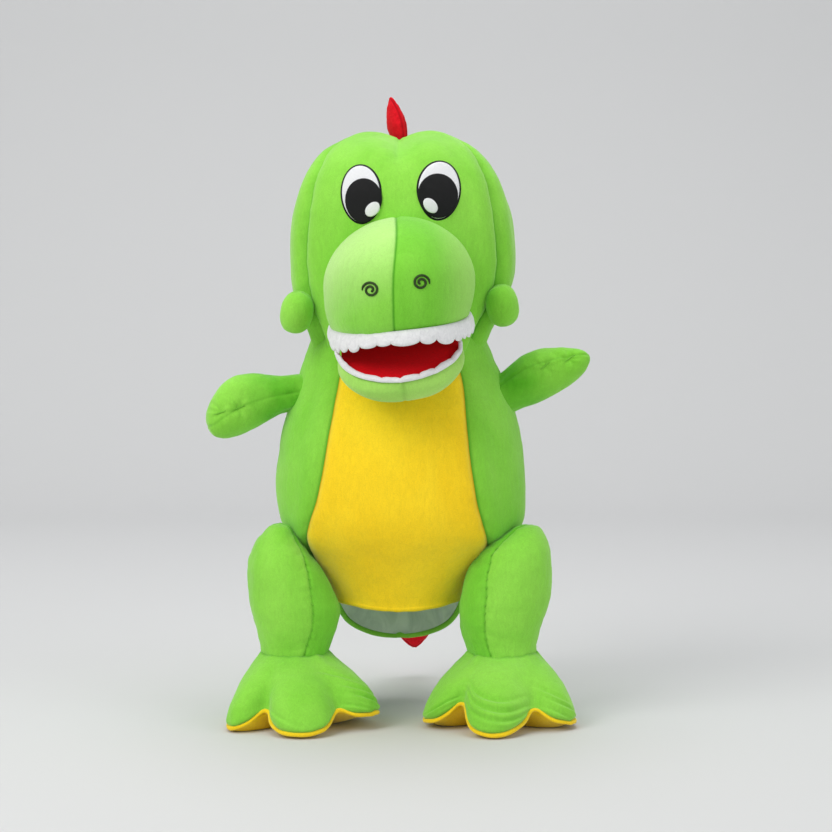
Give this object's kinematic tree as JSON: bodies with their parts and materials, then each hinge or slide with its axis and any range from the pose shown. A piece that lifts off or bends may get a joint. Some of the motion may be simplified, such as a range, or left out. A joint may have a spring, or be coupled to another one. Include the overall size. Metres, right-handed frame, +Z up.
{
  "type": "stuffed dinosaur hand puppet",
  "caption": "Standing plush dinosaur hand puppet: a lined sleeve under the belly leads to a mouth that a hand opens, with padded arms, legs, three-toed feet and a tail.",
  "frame": {"origin": "centre of the whole puppet's outline, on the floor under its feet", "axes": "+Z up along the body, the face looks along -Y, +X to the puppet's own left"},
  "size_m": [0.2829, 0.29, 0.4589],
  "materials": {
    "green_plush": "short-pile velboa",
    "pale_green_plush": "the same pile brushed the other way",
    "yellow_plush": "short-pile velboa",
    "red_felt": "felt",
    "white_felt": "felt and satin stitch",
    "black_thread": "satin stitch",
    "satin_lining": "satin",
    "wadding": "polyester fibre wadding",
    "stiffener_card": "stiff board"
  },
  "bodies": {
    "torso": {"belly_panel": "yellow_plush", "body_side_left": "green_plush", "body_side_right": "green_plush", "hem_band": "green_plush", "torso_wadding": "wadding", "sleeve_lining": "satin_lining", "shoulder_spike": "red_felt", "back_spike": "red_felt", "rump_spike": "red_felt"},
    "neck": {"neck_collar": "green_plush"},
    "head": {"face_panel": "green_plush", "head_side_left": "green_plush", "head_side_right": "green_plush", "snout_right": "green_plush", "ear_left": "green_plush", "ear_right": "green_plush", "snout_left": "pale_green_plush", "head_stuffing": "wadding", "finger_pocket_lining": "satin_lining", "palate_lining": "red_felt", "crest_spike": "red_felt", "nape_spike": "red_felt", "palate_board": "stiffener_card", "upper_teeth": "white_felt", "eye_white_left": "white_felt", "eye_glint_left": "white_felt", "eye_pupil_left": "black_thread", "nostril_left": "black_thread", "eye_white_right": "white_felt", "eye_glint_right": "white_felt", "eye_pupil_right": "black_thread", "nostril_right": "black_thread"},
    "jaw": {"jaw_skin_left": "green_plush", "jaw_skin_right": "green_plush", "jaw_stuffing": "wadding", "jaw_lining": "red_felt", "jaw_board": "stiffener_card", "lower_teeth": "white_felt"},
    "arm_left": {"arm_left_upper_panel": "green_plush", "arm_left_lower_panel": "green_plush", "arm_left_stuffing": "wadding"},
    "leg_left": {"leg_left_inner_panel": "green_plush", "leg_left_outer_panel": "green_plush", "leg_left_stuffing": "wadding"},
    "foot_left": {"foot_left_upper": "green_plush", "foot_left_sole": "yellow_plush", "foot_left_stuffing": "wadding"},
    "arm_right": {"arm_right_upper_panel": "green_plush", "arm_right_lower_panel": "green_plush", "arm_right_stuffing": "wadding"},
    "leg_right": {"leg_right_inner_panel": "green_plush", "leg_right_outer_panel": "green_plush", "leg_right_stuffing": "wadding"},
    "foot_right": {"foot_right_upper": "green_plush", "foot_right_sole": "yellow_plush", "foot_right_stuffing": "wadding"},
    "tail": {"tail_skin": "green_plush", "tail_stuffing": "wadding", "tail_spike": "red_felt", "tail_tip_spike": "red_felt"}
  },
  "joints": [
    {"name": "head_turn", "type": "hinge", "parent": "torso", "child": "neck", "pos_m": [0, -0.0045, 0.262], "axis": [0, 0, 1], "range_deg": [-20, 20], "stiffness_Nm_per_rad": 0.3},
    {"name": "head_nod", "type": "hinge", "parent": "neck", "child": "head", "pos_m": [0, -0.0045, 0.262], "axis": [1, 0, 0], "range_deg": [-8, 8], "stiffness_Nm_per_rad": 1.5},
    {"name": "jaw_open", "type": "hinge", "parent": "head", "child": "jaw", "pos_m": [0.00455, -0.0625, 0.28419], "axis": [0.9945, 0, 0.1045], "range_deg": [-10, 10], "stiffness_Nm_per_rad": 0.1},
    {"name": "arm_left_raise", "type": "hinge", "parent": "torso", "child": "arm_left", "pos_m": [-0.0928, -0.0185, 0.2392], "axis": [-0.2079, 0.9781, 0], "range_deg": [-38, 80], "stiffness_Nm_per_rad": 0.08},
    {"name": "arm_right_raise", "type": "hinge", "parent": "torso", "child": "arm_right", "pos_m": [0.0928, -0.0185, 0.2392], "axis": [0.2079, 0.9781, 0], "range_deg": [-32, 80], "stiffness_Nm_per_rad": 0.08},
    {"name": "hip_left_swing", "type": "hinge", "parent": "torso", "child": "leg_left", "pos_m": [-0.0765, -0.0425, 0.112], "axis": [1, 0, 0], "range_deg": [-80, 15], "stiffness_Nm_per_rad": 6},
    {"name": "hip_right_swing", "type": "hinge", "parent": "torso", "child": "leg_right", "pos_m": [0.0765, -0.0425, 0.112], "axis": [1, 0, 0], "range_deg": [-80, 15], "stiffness_Nm_per_rad": 6},
    {"name": "ankle_left_flex", "type": "hinge", "parent": "leg_left", "child": "foot_left", "pos_m": [-0.0765, -0.0425, 0.058], "axis": [1, 0, 0], "range_deg": [-25, 25], "stiffness_Nm_per_rad": 6},
    {"name": "ankle_right_flex", "type": "hinge", "parent": "leg_right", "child": "foot_right", "pos_m": [0.0765, -0.0425, 0.058], "axis": [1, 0, 0], "range_deg": [-25, 25], "stiffness_Nm_per_rad": 6},
    {"name": "tail_lift", "type": "hinge", "parent": "torso", "child": "tail", "pos_m": [0, 0.084, 0.112], "axis": [0.9945, -0.1045, 0], "range_deg": [-10, 30], "stiffness_Nm_per_rad": 0.1}
  ]
}
